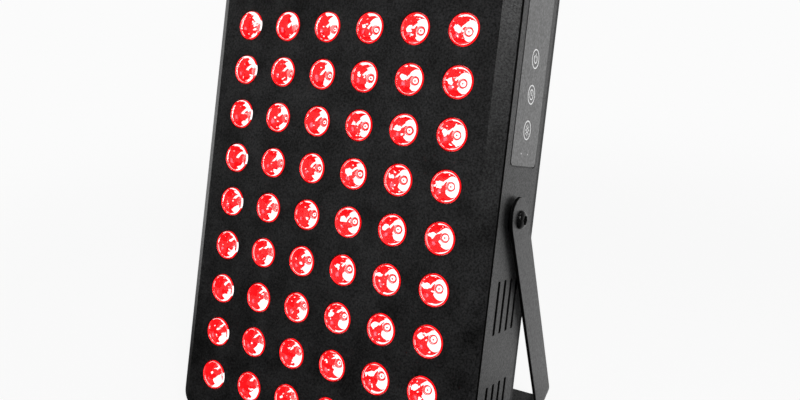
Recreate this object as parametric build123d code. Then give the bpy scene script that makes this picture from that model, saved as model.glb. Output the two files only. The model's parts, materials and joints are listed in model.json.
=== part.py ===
from build123d import *
import math
import os

# A table-top red light therapy panel: sixty lamps behind a black sheet-metal case that
# leans back on a U-shaped strap bracket, pivoted half way up its sides.
# Millimetres. +X is to the right of someone who faces the lamps, +Y runs from the lamps
# to the back, and +Z is up. Each panel piece is drawn upright, with the pivot line
# through the origin, and each bracket piece hangs straight down from it. The two
# groups are then leaned onto the floor.

# Lamp field
lamp_columns = 6
lamp_rows = 10
column_pitch = 30.0
row_pitch = 28.3
lens_diameter = 18.9
lens_gap = 0.7  # ring of air between a lens and its hole
lens_rim_height = 0.4  # rim above the front
lens_stand_out = 2.2  # crown above the front
lens_crown_inset = 2.6  # from the rim in to the flat of the crown
lamp_sides = 12  # the sixty lenses and holes are many-sided to keep the model light
emitter_size = 3.5
emitter_height = 1.6

# Case
side_margin = 29.1  # from the outer lamps' middles to the left and right edges
end_margin = 29.5  # and to the top and bottom edges
case_depth = 65.0
sheet = 1.5
fit_gap = 0.3  # between nested pieces of the case
cut_overrun = 1.0
bevel_width = 8.5
bevel_depth = 6.0
rim_land = 0.5  # straight edge behind the bevel
crease_radius = 3.5  # where the bevel meets the lamp plate
shadow_gap = 2.0
lip_length = 8.0
flange_width = 10.0

# Side vents, two groups of upright slots on each side
vent_count = 4
vent_width = 3.0
vent_length = 30.0
vent_pitch = 9.0
vent_setback = 2.1  # behind the middle of the side
upper_vent_drop = 49.4  # from the pivot line to the middle of the group
lower_vent_drop = 108.5

# Touch strip on the right side
film_width = 39.0
film_height = 100.0
film_corner = 3.0
film_thickness = 0.8
film_pocket = 0.6
film_gap = 0.6
film_setback = 3.3
film_rise = 29.7  # from the pivot line to its lower edge
touch_board_width = 32.0
touch_board_height = 96.0
touch_board_margin = 2.0  # inside the strip's back edge
board_thickness = 1.6

# Lamp board, its standoffs and its heat sink
standoff_length = 6.0
standoff_width = 7.0
board_margin = 18.0
sink_margin = 14.0
sink_base = 3.0
fin_height = 14.0
fin_thickness = 1.6
fin_count = 13

# Fan behind the back cover
fan_size = 92.0
fan_depth = 25.0
fan_wall = 3.0  # where the bore comes nearest to the frame's outside
fan_drop = 55.0  # its axis below the pivot line
motor_plate = 3.0
motor_diameter = 40.0
strut_width = 5.0
strut_count = 4
shaft_diameter = 3.0
running_clearance = 0.05
hub_diameter = 36.0
hub_gap = 0.8
blade_count = 7
blade_thickness = 1.6
root_chord = 20.0
tip_chord = 26.0
blade_pitch = 38.0
tip_gap = 1.0
grille_slot = 3.2
grille_pitch = 6.0
grille_margin = 2.0

# Lamp driver
driver_width = 150.0
driver_height = 56.0
driver_depth = 28.0
driver_gap = 12.0  # above the fan

# Mains inlet
inlet_drop = 124.0
inlet_offset = -32.0
inlet_flange_width = 31.0
inlet_flange_height = 24.0
inlet_flange = 2.5
inlet_body_width = 27.0
inlet_body_height = 19.8
inlet_body_depth = 19.0
inlet_cavity_width = 24.2
inlet_cavity_height = 16.4
inlet_cavity_depth = 17.0
inlet_corner = 4.0
blade_pin_width = 2.0
blade_pin_height = 4.0
blade_pin_recess = 5.0
blade_pin_pitch = 14.0
earth_pin_rise = 4.0

# Rocker switch
switch_offset = 30.0
bezel_width = 15.0
bezel_height = 21.0
bezel_thickness = 2.0
switch_body_width = 13.0
switch_body_height = 19.2
switch_body_depth = 15.0
rocker_width = 10.4
rocker_radius = 8.2
rocker_clearance = 0.35
rocker_sink = 1.0  # the rocker's pivot line behind the bezel's face
rocker_crown = 0.6
rocker_tilt = 9.0

# Bracket and its pivots
lean = 13.5
strap_width = 23.0
strap_thickness = 2.0
bend_radius = 14.0
swing_gap = 2.8  # between the turning bracket and the case's corners
pad_width = 18.0
pad_length = 30.0
pad_thickness = 3.5
bolt_diameter = 6.0
bolt_hole_gap = 0.3
bolt_head_diameter = 10.5
bolt_head_height = 2.8
bolt_crown_diameter = 6.5
socket_width = 4.0
socket_depth = 2.0
bolt_tip = 1.5  # the bolt's end beyond the nut
spacer_diameter = 15.0
spacer_thickness = 1.6
nut_width = 10.0
nut_height = 6.0

# Sizes that follow from those above
lamp_field_width = (lamp_columns - 1) * column_pitch
lamp_field_height = (lamp_rows - 1) * row_pitch
case_width = lamp_field_width + 2 * side_margin
case_height = lamp_field_height + 2 * end_margin
corner_radius = crease_radius + bevel_width
side = case_width / 2
front = -case_depth / 2
back = case_depth / 2
rim_back = front + bevel_depth + rim_land
wall_front = rim_back + shadow_gap
lip_inset = sheet + fit_gap
board_front = front + sheet + standoff_length
sink_front = board_front + board_thickness
fins_front = sink_front + sink_base
cover_front = back - sheet
fan_bore = fan_size - 2 * fan_wall
bracket_reach = math.hypot(case_height / 2, case_depth / 2) + swing_gap
arm_inside = side + spacer_thickness
arm_outside = arm_inside + strap_thickness


def spread(count, pitch):
    """Evenly spaced places about the middle of a line."""
    return [(number - (count - 1) / 2) * pitch for number in range(count)]


def slab(sketch, near, far, slope=0):
    """A flat piece between two depths, drawn as seen from the front.

    With a slope, its sides lean in towards the front by that many degrees.
    """
    return extrude(Plane.XZ.offset(-far) * sketch, amount=far - near, taper=slope)


def side_slab(sketch, inner, outer):
    """A flat piece between two distances to the right, drawn with depth and height."""
    return extrude(Plane.YZ.offset(inner) * sketch, amount=outer - inner)


def both_sides(piece):
    """A piece of the right side, and its mirror image on the left side."""
    return [piece, mirror(piece, about=Plane.YZ)]


def group(pieces):
    """Separate solids that share one node."""
    return Compound([solid for piece in pieces for solid in piece.solids()])


def case_outline(inset, radius):
    return RectangleRounded(case_width - 2 * inset, case_height - 2 * inset, radius)


def lamp_places():
    return [(x, z) for x in spread(lamp_columns, column_pitch) for z in spread(lamp_rows, row_pitch)]


def ring(outer_diameter, inner_diameter):
    return Circle(outer_diameter / 2) - Circle(inner_diameter / 2)


# Case


def front_cover():
    """A pressed tray: flat lamp plate, bevelled edge, and a lip that enters the housing."""
    bevel_back = front + bevel_depth
    lip_back = wall_front + lip_length
    slope = math.degrees(math.atan2(bevel_width, bevel_depth))
    tray = slab(case_outline(0, corner_radius), front, bevel_back, slope)
    tray += slab(case_outline(0, corner_radius), bevel_back, rim_back)
    tray += slab(case_outline(lip_inset, corner_radius - lip_inset), rim_back, lip_back)
    hollow_inset = lip_inset + sheet
    hollow_outline = case_outline(hollow_inset, corner_radius - hollow_inset)
    tray -= slab(hollow_outline, bevel_back, lip_back)
    tray -= slab(hollow_outline, front + sheet, bevel_back, slope)
    hole = RegularPolygon(lens_diameter / 2 + lens_gap, lamp_sides)
    holes = Sketch() + [Pos(x, z) * hole for x, z in lamp_places()]
    return tray - slab(holes, front - cut_overrun, front + sheet + cut_overrun)


def vent_slots():
    slot = Rectangle(vent_width, vent_length)
    drops = (upper_vent_drop, lower_vent_drop)
    depths = [vent_setback + depth for depth in spread(vent_count, vent_pitch)]
    return Sketch() + [Pos(depth, -drop) * slot for drop in drops for depth in depths]


def film_outline(growth):
    """The touch strip's outline on the right side, grown by a gap all round."""
    place = Pos(film_setback, film_rise + film_height / 2)
    return place * RectangleRounded(
        film_width + 2 * growth, film_height + 2 * growth, film_corner + growth
    )


def housing_shell():
    """Four walls in one band, with a flange inside the back for the back cover."""
    shell = slab(case_outline(0, corner_radius), wall_front, back)
    shell -= slab(case_outline(sheet, corner_radius - sheet), wall_front, cover_front - sheet)
    flange_inset = sheet + flange_width
    flange_hole = Rectangle(case_width - 2 * flange_inset, case_height - 2 * flange_inset)
    shell -= slab(flange_hole, cover_front - sheet, cover_front)
    shell -= slab(case_outline(sheet, corner_radius - sheet), cover_front, back)
    shell -= side_slab(vent_slots(), -side - cut_overrun, side + cut_overrun)
    pivot_hole = Circle(bolt_diameter / 2 + bolt_hole_gap)
    shell -= side_slab(pivot_hole, -side - cut_overrun, side + cut_overrun)
    return shell - side_slab(film_outline(film_gap), side - film_pocket, side + cut_overrun)


def grille_slots():
    """Level slots whose ends follow a circle in front of the fan."""
    radius = fan_bore / 2 - grille_margin
    count = int(2 * radius / grille_pitch)
    slots = []
    for height in spread(count, grille_pitch):
        reach = abs(height) + grille_slot / 2
        if reach < radius:
            width = 2 * math.sqrt(radius**2 - reach**2)
            slots.append(Pos(0, height - fan_drop) * Rectangle(width, grille_slot))
    return Sketch() + slots


def rear_cover():
    plate = slab(case_outline(lip_inset, corner_radius - lip_inset), cover_front, back)
    cuts = grille_slots()
    cuts += Pos(inlet_offset, -inlet_drop) * Rectangle(
        inlet_body_width + 2 * fit_gap, inlet_body_height + 2 * fit_gap
    )
    cuts += Pos(switch_offset, -inlet_drop) * Rectangle(
        switch_body_width + 2 * fit_gap, switch_body_height + 2 * fit_gap
    )
    return plate - slab(cuts, cover_front - cut_overrun, back + cut_overrun)


# Lamps


def lens():
    """A clear body that stands on its emitter and ends in a low crown inside a rim."""
    outline = RegularPolygon(lens_diameter / 2, lamp_sides)
    body = slab(outline, front - lens_stand_out, board_front - emitter_height)
    crown = body.faces().sort_by(Axis.Y)[0]
    drop = lens_stand_out - lens_rim_height
    return chamfer(crown.edges(), length=lens_crown_inset, length2=drop, reference=crown)


def lens_column(x):
    one = lens()
    return group(Pos(x, 0, z) * one for z in spread(lamp_rows, row_pitch))


def led_emitters():
    one = slab(Rectangle(emitter_size, emitter_size), board_front - emitter_height, board_front)
    return group(Pos(x, 0, z) * one for x, z in lamp_places())


def led_board():
    outline = Rectangle(lamp_field_width + 2 * board_margin, lamp_field_height + 2 * board_margin)
    return slab(outline, board_front, sink_front)


def board_standoffs():
    """Six hexagonal posts between the lamp plate and the board, midway between lamps."""
    post = slab(
        RegularPolygon(standoff_width / 2, 6, major_radius=False), front + sheet, board_front
    )
    columns = [-2 * column_pitch, 2 * column_pitch]
    rows = [-(lamp_rows // 2 - 1) * row_pitch, 0, (lamp_rows // 2 - 1) * row_pitch]
    return group(Pos(x, 0, z) * post for x in columns for z in rows)


def heat_sink():
    """An extruded plate with upright fins."""
    width = lamp_field_width + 2 * sink_margin
    height = lamp_field_height + 2 * sink_margin
    profile = slab(Rectangle(width, height), sink_front, fins_front)
    fin = slab(Rectangle(fin_thickness, height), fins_front, fins_front + fin_height)
    pitch = (width - fin_thickness) / (fin_count - 1)
    return profile + [Pos(x, 0, 0) * fin for x in spread(fin_count, pitch)]


# Fan


def fan_frame():
    """A square duct with the motor's plate held on struts at the back cover's side."""
    fan_front = cover_front - fan_depth
    plate_front = cover_front - motor_plate
    duct = slab(Rectangle(fan_size, fan_size) - Circle(fan_bore / 2), fan_front, cover_front)
    spider = Sketch() + Circle(motor_diameter / 2)
    for number in range(strut_count):
        strut = Pos(fan_bore / 4, 0) * Rectangle(fan_bore / 2 + strut_width, strut_width)
        spider += Rot(0, 0, (number + 0.5) * 360 / strut_count) * strut
    spider -= Circle(shaft_diameter / 2 + running_clearance)
    return Pos(0, 0, -fan_drop) * (duct + slab(spider, plate_front, cover_front))


def fan_blade():
    """One pitched blade that points right and widens from the shaft towards the bore."""
    corner = tip_chord / 2 * math.cos(math.radians(blade_pitch))
    tip = math.sqrt((fan_bore / 2 - tip_gap) ** 2 - corner**2)
    outline = make_face(
        Polyline(
            (0, -root_chord / 2),
            (tip, -tip_chord / 2),
            (tip, tip_chord / 2),
            (0, root_chord / 2),
            close=True,
        )
    )
    return Rot(blade_pitch, 0, 0) * slab(outline, -blade_thickness / 2, blade_thickness / 2)


def fan_rotor():
    """A hub with a flat under each blade, on a shaft that turns in the motor plate."""
    hub_front = cover_front - fan_depth + hub_gap
    hub_back = cover_front - motor_plate - hub_gap
    hub = RegularPolygon(hub_diameter / 2, 2 * blade_count, rotation=90 / blade_count)
    rotor = slab(hub, hub_front, hub_back)
    middle = Pos(0, (hub_front + hub_back) / 2, 0)
    turns = [Rot(0, number * 360 / blade_count, 0) for number in range(blade_count)]
    rotor += [turn * middle * fan_blade() for turn in turns]
    rotor += slab(Circle(shaft_diameter / 2), hub_back, cover_front - running_clearance)
    return Pos(0, 0, -fan_drop) * rotor


# Power and control


def led_driver():
    middle = -fan_drop + fan_size / 2 + driver_gap + driver_height / 2
    outline = Pos(0, middle) * Rectangle(driver_width, driver_height)
    return slab(outline, cover_front - driver_depth, cover_front)


def touch_film():
    return side_slab(film_outline(0), side - film_pocket, side - film_pocket + film_thickness)


def touch_board():
    middle = film_rise + film_height / 2
    film_back = film_setback + film_width / 2
    setback = film_back - touch_board_margin - touch_board_width / 2
    outline = Pos(setback, middle) * Rectangle(touch_board_width, touch_board_height)
    return side_slab(outline, side - sheet - board_thickness, side - sheet)


def inlet_socket():
    """A flanged mains inlet whose cavity has two cut corners."""
    socket = slab(Rectangle(inlet_flange_width, inlet_flange_height), back, back + inlet_flange)
    socket += slab(Rectangle(inlet_body_width, inlet_body_height), back - inlet_body_depth, back)
    half_width = inlet_cavity_width / 2
    half_height = inlet_cavity_height / 2
    cavity = make_face(
        Polyline(
            (-half_width, -half_height),
            (half_width, -half_height),
            (half_width, half_height - inlet_corner),
            (half_width - inlet_corner, half_height),
            (inlet_corner - half_width, half_height),
            (-half_width, half_height - inlet_corner),
            close=True,
        )
    )
    mouth = back + inlet_flange
    socket -= slab(cavity, mouth - inlet_cavity_depth, mouth + cut_overrun)
    return Pos(inlet_offset, 0, -inlet_drop) * socket


def inlet_pins():
    """Live and neutral side by side, with earth above and between them."""
    mouth = back + inlet_flange
    floor = mouth - inlet_cavity_depth
    pin = slab(Rectangle(blade_pin_width, blade_pin_height), floor, mouth - blade_pin_recess)
    low = -earth_pin_rise / 2
    places = [(-blade_pin_pitch / 2, low), (blade_pin_pitch / 2, low), (0, low + earth_pin_rise)]
    return group(Pos(inlet_offset + x, 0, z - inlet_drop) * pin for x, z in places)


def rocker_profile(radius, shoulders):
    """A half disc behind the pivot line, closed in front by points across the rocker."""
    arc = ThreePointArc((0, radius), (-radius, 0), (0, -radius))
    return make_face([arc, Polyline((0, -radius), *shoulders, (0, radius))])


def rocker_pivot():
    """The rocker's pivot line, as a distance behind the panel's middle."""
    return back + bezel_thickness - rocker_sink


def switch_body():
    """A bezel and box with a round trough that the rocker turns in."""
    body = slab(Rectangle(bezel_width, bezel_height), back, back + bezel_thickness)
    body += slab(Rectangle(switch_body_width, switch_body_height), back - switch_body_depth, back)
    radius = rocker_radius + rocker_clearance
    mouth = rocker_sink + cut_overrun
    trough = rocker_profile(radius, [(mouth, -radius), (mouth, radius)])
    half = rocker_width / 2 + rocker_clearance
    body -= Pos(0, rocker_pivot(), 0) * side_slab(trough, -half, half)
    return Pos(switch_offset, 0, -inlet_drop) * body


def switch_rocker():
    """A half-round key with a shallow valley, tipped so that its upper end is pressed in."""
    end = rocker_crown + rocker_radius * math.tan(math.radians(rocker_tilt))
    shoulders = [(end, -rocker_radius), (rocker_crown, 0), (end, rocker_radius)]
    key = side_slab(rocker_profile(rocker_radius, shoulders), -rocker_width / 2, rocker_width / 2)
    return Pos(switch_offset, rocker_pivot(), -inlet_drop) * Rot(rocker_tilt, 0, 0) * key


# Pivots, on the panel


def pivot_spacers():
    rim = ring(spacer_diameter, bolt_diameter + 2 * bolt_hole_gap)
    return group(both_sides(side_slab(rim, side, arm_inside)))


def pivot_nuts():
    """Hexagonal nuts fixed inside the walls."""
    outline = RegularPolygon(nut_width / 2, 6, major_radius=False)
    outline -= Circle(bolt_diameter / 2 + running_clearance)
    nut_outside = side - sheet
    return group(both_sides(side_slab(outline, nut_outside - nut_height, nut_outside)))


def pivot_bolts():
    """Button-head bolts with a hexagonal socket."""
    crown = arm_outside + bolt_head_height
    tip = side - sheet - nut_height - bolt_tip
    head_radius = bolt_head_diameter / 2
    shank_radius = bolt_diameter / 2
    outline = Polyline(
        (tip, 0),
        (tip, shank_radius),
        (arm_outside, shank_radius),
        (arm_outside, head_radius),
        (crown, bolt_crown_diameter / 2),
        (crown, 0),
        close=True,
    )
    bolt = revolve(make_face(outline), axis=Axis.X)
    socket = RegularPolygon(socket_width / 2, 6, major_radius=False)
    bolt -= side_slab(socket, crown - socket_depth, crown + cut_overrun)
    return group(both_sides(bolt))


# Bracket, hanging straight down from the pivot line


def stand_bracket():
    """One bent strap: two arms with round ends and a base bar."""
    bar_outside = bracket_reach + strap_thickness
    loop = RectangleRounded(2 * arm_outside, 2 * bar_outside, bend_radius + strap_thickness)
    loop -= RectangleRounded(2 * arm_inside, 2 * bracket_reach, bend_radius)
    lower_half = Pos(0, -bar_outside / 2) * Rectangle(2 * arm_outside, bar_outside)
    strap = slab(loop & lower_half, -strap_width / 2, strap_width / 2)
    strap += both_sides(side_slab(Circle(strap_width / 2), arm_inside, arm_outside))
    bore = Circle(bolt_diameter / 2 + running_clearance)
    return strap - side_slab(bore, -arm_outside - cut_overrun, arm_outside + cut_overrun)


def stand_pads():
    """Two rubber pads under the base bar, just inside its bends."""
    bar_outside = bracket_reach + strap_thickness
    place = arm_inside - bend_radius - pad_length / 2
    pad = Pos(place, 0, -bar_outside - pad_thickness / 2) * Box(pad_length, pad_width, pad_thickness)
    return group(both_sides(pad))


# Resting pose: the case stands on its lower back edge and the bracket on its pads


def pivot_height():
    tilt = math.radians(lean)
    return case_height / 2 * math.cos(tilt) + case_depth / 2 * math.sin(tilt)


def bracket_angle():
    """How far the bracket swings back before the front edge of its pads meets the floor."""
    pad_reach = bracket_reach + strap_thickness + pad_thickness
    edge_reach = math.hypot(pad_reach, pad_width / 2)
    swing = math.acos(pivot_height() / edge_reach) + math.atan2(pad_width / 2, pad_reach)
    return math.degrees(swing)


panel_pieces = {
    "front_cover": front_cover(),
    "housing_shell": housing_shell(),
    "rear_cover": rear_cover(),
    "led_board": led_board(),
    "led_emitters": led_emitters(),
    "board_standoffs": board_standoffs(),
    "heat_sink": heat_sink(),
    "fan_frame": fan_frame(),
    "fan_rotor": fan_rotor(),
    "led_driver": led_driver(),
    "touch_film": touch_film(),
    "touch_board": touch_board(),
    "inlet_socket": inlet_socket(),
    "inlet_pins": inlet_pins(),
    "switch_body": switch_body(),
    "switch_rocker": switch_rocker(),
    "pivot_spacers": pivot_spacers(),
    "pivot_nuts": pivot_nuts(),
    "pivot_bolts": pivot_bolts(),
}
for number, x in enumerate(spread(lamp_columns, column_pitch), start=1):
    panel_pieces[f"lens_column_{number}"] = lens_column(x)

bracket_pieces = {
    "stand_bracket": stand_bracket(),
    "stand_pads": stand_pads(),
}

leaned = {name: Rot(-lean, 0, 0) * piece for name, piece in panel_pieces.items()}
leaned |= {name: Rot(bracket_angle(), 0, 0) * piece for name, piece in bracket_pieces.items()}

# The origin is on the floor, under the middle of the whole object.
boxes = [piece.bounding_box() for piece in leaned.values()]
middle_depth = (min(box.min.Y for box in boxes) + max(box.max.Y for box in boxes)) / 2
pivot_line = Pos(0, -middle_depth, pivot_height())

os.makedirs("parts", exist_ok=True)
for name, piece in leaned.items():
    export_step(pivot_line * piece, f"parts/{name}.step")

print("pivot line at depth", -middle_depth, "height", pivot_height())
print("bracket angle", bracket_angle())
for label, place in (
    ("fan axis", (0, cover_front, -fan_drop)),
    ("rocker pivot", (switch_offset, rocker_pivot(), -inlet_drop)),
    ("inlet mouth", (inlet_offset, back + inlet_flange, -inlet_drop)),
    ("bottom face", (0, 0, -case_height / 2)),
):
    print(label, (pivot_line * Rot(-lean, 0, 0) * Pos(*place)).position)
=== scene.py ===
# %% [markdown]
# A red light therapy panel, dressed in Blender. The engineering model of the panel is the
# frame: its pieces have their real sizes and places. This lesson gives each piece the
# surface that the real one has, and redraws those that the model keeps plain: the round
# lamps, the folded sheet metal, the strap and the bolts.

# %% Load the frame
import json
import math
from functools import partial

import bmesh
import bpy
from mathutils import Matrix, Vector


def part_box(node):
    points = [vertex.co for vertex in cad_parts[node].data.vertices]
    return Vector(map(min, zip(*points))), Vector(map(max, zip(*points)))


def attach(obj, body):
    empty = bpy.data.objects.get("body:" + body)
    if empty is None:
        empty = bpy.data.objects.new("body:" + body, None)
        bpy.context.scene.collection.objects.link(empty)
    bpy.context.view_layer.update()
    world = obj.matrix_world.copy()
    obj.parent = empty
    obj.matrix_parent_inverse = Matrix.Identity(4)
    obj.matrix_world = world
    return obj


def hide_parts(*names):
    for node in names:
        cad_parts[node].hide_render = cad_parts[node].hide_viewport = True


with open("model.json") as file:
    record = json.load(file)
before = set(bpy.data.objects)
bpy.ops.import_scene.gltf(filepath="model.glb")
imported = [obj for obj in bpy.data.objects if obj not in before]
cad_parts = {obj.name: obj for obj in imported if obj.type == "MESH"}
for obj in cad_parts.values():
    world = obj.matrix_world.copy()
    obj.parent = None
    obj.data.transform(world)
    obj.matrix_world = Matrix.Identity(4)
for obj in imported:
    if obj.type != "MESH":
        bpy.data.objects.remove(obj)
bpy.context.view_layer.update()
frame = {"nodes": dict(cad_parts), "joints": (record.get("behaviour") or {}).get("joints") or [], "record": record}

print("nodes in the frame:", len(frame["nodes"]))

# %% [markdown]
# The panel leans back on its stand. Its pieces are much easier to draw upright, in
# millimetres, with the pivot line at the origin, so this step works out one matrix that
# leans and scales a finished mesh into its place, and one for the bracket, which hangs
# straight down from the same line before it swings back. Both come from the frame: the
# pivot from the joint, the lean from the base face, and the swing from the stand's pads.

# %% Two drawing places
MM = 0.001
X, Y, Z = 0, 1, 2
joints = {joint["name"]: joint for joint in frame["joints"]}
mounts = {mount["name"]: mount for mount in frame["record"]["mounts"]}
pivot = Vector(joints["bracket_tilt"]["pos_m"])
base_normal = mounts["base_face"]["axis"]
lean = math.atan2(-base_normal[Y], -base_normal[Z])
pads_low, pads_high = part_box("stand_pads")
pads_middle = (pads_low + pads_high) / 2 - pivot
swing = math.atan2(pads_middle.y, -pads_middle.z)


def drawing_place(turn):
    """The matrix that turns an upright drawing in millimetres about the pivot line."""
    return Matrix.Translation(pivot) @ Matrix.Rotation(turn, 4, "X") @ Matrix.Scale(MM, 4)


panel_place = drawing_place(-lean)
bracket_place = drawing_place(swing)


def drawn(node, place=panel_place):
    """The corners of a node's solids in millimetres, as they were drawn."""
    back_to_drawing = place.inverted()
    return [back_to_drawing @ vertex.co for vertex in frame["nodes"][node].data.vertices]


def extent(points, axis):
    """Lowest and highest value of the points on one axis."""
    values = [point[axis] for point in points]
    return min(values), max(values)


print("lean", round(math.degrees(lean), 2), "swing", round(math.degrees(swing), 2))

# %% [markdown]
# The sizes that the drawings need are read from the solids. The front cover gives the
# outline of the case and its bevel, the housing gives the walls, and the lens columns
# give the places of the lamps.

# %% Sizes of the case
CLOSE = 0.01
corner_radius = 12.0
cover_points = drawn("front_cover")
front, lip_back = extent(cover_points, Y)
side = extent(cover_points, X)[1]
top = extent(cover_points, Z)[1]
bevel_back, rim_back = extent([point for point in cover_points if point.x > side - CLOSE], Y)
crease_inset = side - max(point.x for point in cover_points if point.y < front + CLOSE)
lip_inset = side - max(point.x for point in cover_points if point.y > lip_back - CLOSE)
wall_front, back = extent(drawn("housing_shell"), Y)
cover_seat = extent(drawn("rear_cover"), Y)[0]
sheet = back - cover_seat
print("case", round(2 * side, 1), "x", round(2 * top, 1), "x", round(back - front, 1), "mm")

# %% Sizes of the lamps
lamp_rows = 10
glass_inset = 0.7
hole_gap = 0.5
lens_nodes = sorted(name for name in frame["nodes"] if name.startswith("lens_column"))
column_spans = [extent(drawn(name), X) for name in lens_nodes]
column_places = [(low + high) / 2 for low, high in column_spans]
column_pitch = column_places[1] - column_places[0]
lens_radius = (column_spans[-1][1] - column_spans[-1][0]) / 2
lens_foot = extent(drawn(lens_nodes[0]), Y)[1]
low_z, high_z = extent(drawn(lens_nodes[0]), Z)
row_pitch = (high_z - low_z - 2 * lens_radius) / (lamp_rows - 1)
row_places = [(row - (lamp_rows - 1) / 2) * row_pitch for row in range(lamp_rows)]
glass_radius = lens_radius - glass_inset
hole_radius = glass_radius + hole_gap
print("lamps", len(column_places), "x", lamp_rows, "lens radius", round(lens_radius, 2), "mm")

# %% [markdown]
# Every piece is a mesh that bmesh builds from rings and faces. The helpers here keep the
# later cells short: one rounds the corners of a profile, one joins two rings of vertices
# with quads, and one closes a flat face that has holes.

# %% Lines and loops
LONGEST_REACH = 0.45
QUARTER = math.pi / 2
ROUND = 2 * math.pi


def even(start, end, count):
    """Evenly spaced values from a start to an end, both included."""
    return [start + (end - start) * step / count for step in range(count + 1)]


def around(radius, turns, centre=(0.0, 0.0)):
    """Points at a radius and at some angles round a centre."""
    x, y = centre
    return [(x + radius * math.cos(turn), y + radius * math.sin(turn)) for turn in turns]


def circle_loop(radius, count=48):
    """Points round a circle."""
    return around(radius, even(0.0, ROUND, count)[:-1])


print("points round a circle:", len(circle_loop(1.0)))

# %% Round corners
def rounded_loop(half_width, half_height, radius, steps=8):
    """Points round a rectangle with round corners, from the upper right corner on."""
    points = []
    for corner, (right, up) in enumerate(((1, 1), (-1, 1), (-1, -1), (1, -1))):
        centre = (right * (half_width - radius), up * (half_height - radius))
        start = QUARTER * corner
        points += around(radius, even(start, start + QUARTER, steps), centre)
    return points


def round_corners(points, radius, steps=3):
    """The same line, with each inner corner rounded off, or as far as its sides allow."""
    line = [Vector(points[0])]
    for before, corner, after in zip(points, points[1:], points[2:]):
        corner = Vector(corner)
        back_way = Vector(before) - corner
        on_way = Vector(after) - corner
        reach = radius / math.tan(back_way.angle(on_way) / 2)
        reach = min(reach, LONGEST_REACH * back_way.length, LONGEST_REACH * on_way.length)
        start = corner + back_way.normalized() * reach
        end = corner + on_way.normalized() * reach
        for share in even(0.0, 1.0, steps):
            line.append(start.lerp(corner, share).lerp(corner.lerp(end, share), share))
    line.append(Vector(points[-1]))
    return line


# %% Rings and faces
def axis_ring(bm, points, along, centre, axis=Y):
    """A ring of vertices round an axis through the centre, at a place along the axis."""
    offsets = [(along, a, b) if axis == X else (a, along, b) for a, b in points]
    return [bm.verts.new(Vector(centre) + Vector(offset)) for offset in offsets]


def bridge(bm, ring, next_ring, skip=()):
    """Quads between two closed rings of as many vertices."""
    faces = []
    for number in range(len(ring)):
        if number not in skip:
            after = (number + 1) % len(ring)
            corners = (ring[number], ring[after], next_ring[after], next_ring[number])
            faces.append(bm.faces.new(corners))
    return faces


def stack(bm, rings):
    """Joins each ring to the next."""
    for ring, next_ring in zip(rings, rings[1:]):
        bridge(bm, ring, next_ring)


def fill(bm, *rings):
    """One flat face between an outer ring and the holes in it."""
    edges = []
    for ring in rings:
        for pair in zip(ring, ring[1:] + ring[:1]):
            edges.append(bm.edges.get(pair) or bm.edges.new(pair))
    bmesh.ops.triangle_fill(bm, edges=edges, use_beauty=True)


# %% [markdown]
# A finished mesh becomes a piece of the model in one call. The mesh goes to its place, where it is asked for the
# Bevel modifier gives real edges their small round, and weighted normals keep the large flat faces flat while the
# small rounds catch the light. Then the piece is tied to the body that it moves with, and the solids that it
# stands for are hidden.

# %% Round edges and smooth faces
SHARP = math.radians(32)


def show(name, data):
    """A new object in the scene, with its mesh, light or camera."""
    shown = bpy.data.objects.new(name, data)
    bpy.context.scene.collection.objects.link(shown)
    return shown


def settle(piece):
    """Turns a piece's modifiers into plain mesh."""
    graph = bpy.context.evaluated_depsgraph_get()
    done = bpy.data.meshes.new_from_object(piece.evaluated_get(graph))
    piece.modifiers.clear()
    piece.data = done


def shade(piece, edge):
    """Rounds the sharp edges by a size in millimetres and smooths what is left."""
    if edge:
        bevel = piece.modifiers.new("edge round", "BEVEL")
        bevel.width = edge * MM
        bevel.segments = 2
        bevel.limit_method = "ANGLE"
        bevel.angle_limit = SHARP
        bevel.use_clamp_overlap = True
        settle(piece)
    piece.data.shade_smooth()
    piece.data.set_sharp_from_angle(angle=SHARP)
    weights = piece.modifiers.new("flat faces", "WEIGHTED_NORMAL")
    weights.keep_sharp = True
    settle(piece)


# %% From mesh to piece
def make_piece(
    name, bm, finish, stands_for=(), body="panel", place=panel_place, edge=0.0
):
    """A piece from a mesh drawn in millimetres. Its finish is one material or more."""
    mesh = bpy.data.meshes.new(name)
    bmesh.ops.recalc_face_normals(bm, faces=bm.faces)
    bm.to_mesh(mesh)
    bm.free()
    mesh.transform(place)
    piece = show(name, mesh)
    shade(piece, edge)
    for material in finish:
        piece.data.materials.append(material)
    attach(piece, body)
    if stands_for:
        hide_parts(*stands_for)
    print(name, len(piece.data.polygons), "faces")


# %% [markdown]
# Two pieces of one shape differ in their surface, so the finishes are built next. Fine
# grain is on nearly everything here: powder coat, moulded plastic and rubber all show a
# small random texture. It is one node group with its own inputs, placed in each material
# with other values. Noise in object coordinates is fixed to the mesh, so the grain moves
# with the piece, and it needs no unwrapping.

# %% Nodes and links
def plug(tree, node, inputs):
    """Links sockets to a node's inputs, and writes plain values on them."""
    for name, value in inputs.items():
        if isinstance(value, bpy.types.NodeSocket):
            tree.links.new(value, node.inputs[name])
        else:
            node.inputs[name].default_value = value


def add(tree, kind, inputs=None, **settings):
    """The outputs of a new shader node, with its inputs and settings filled in."""
    node = tree.nodes.new("ShaderNode" + kind)
    for name, value in settings.items():
        setattr(node, name, value)
    plug(tree, node, inputs or {})
    return node.outputs


# %% Short calls for common nodes
def math_node(tree, operation, *values):
    """The output of a Math node."""
    return add(tree, "Math", dict(enumerate(values)), operation=operation)[0]


def vector_node(tree, operation, *values):
    """The outputs of a Vector Math node."""
    return add(tree, "VectorMath", dict(enumerate(values)), operation=operation)


def mesh_place(tree):
    """Where a point lies in its own mesh."""
    return add(tree, "TexCoord")["Object"]


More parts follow.
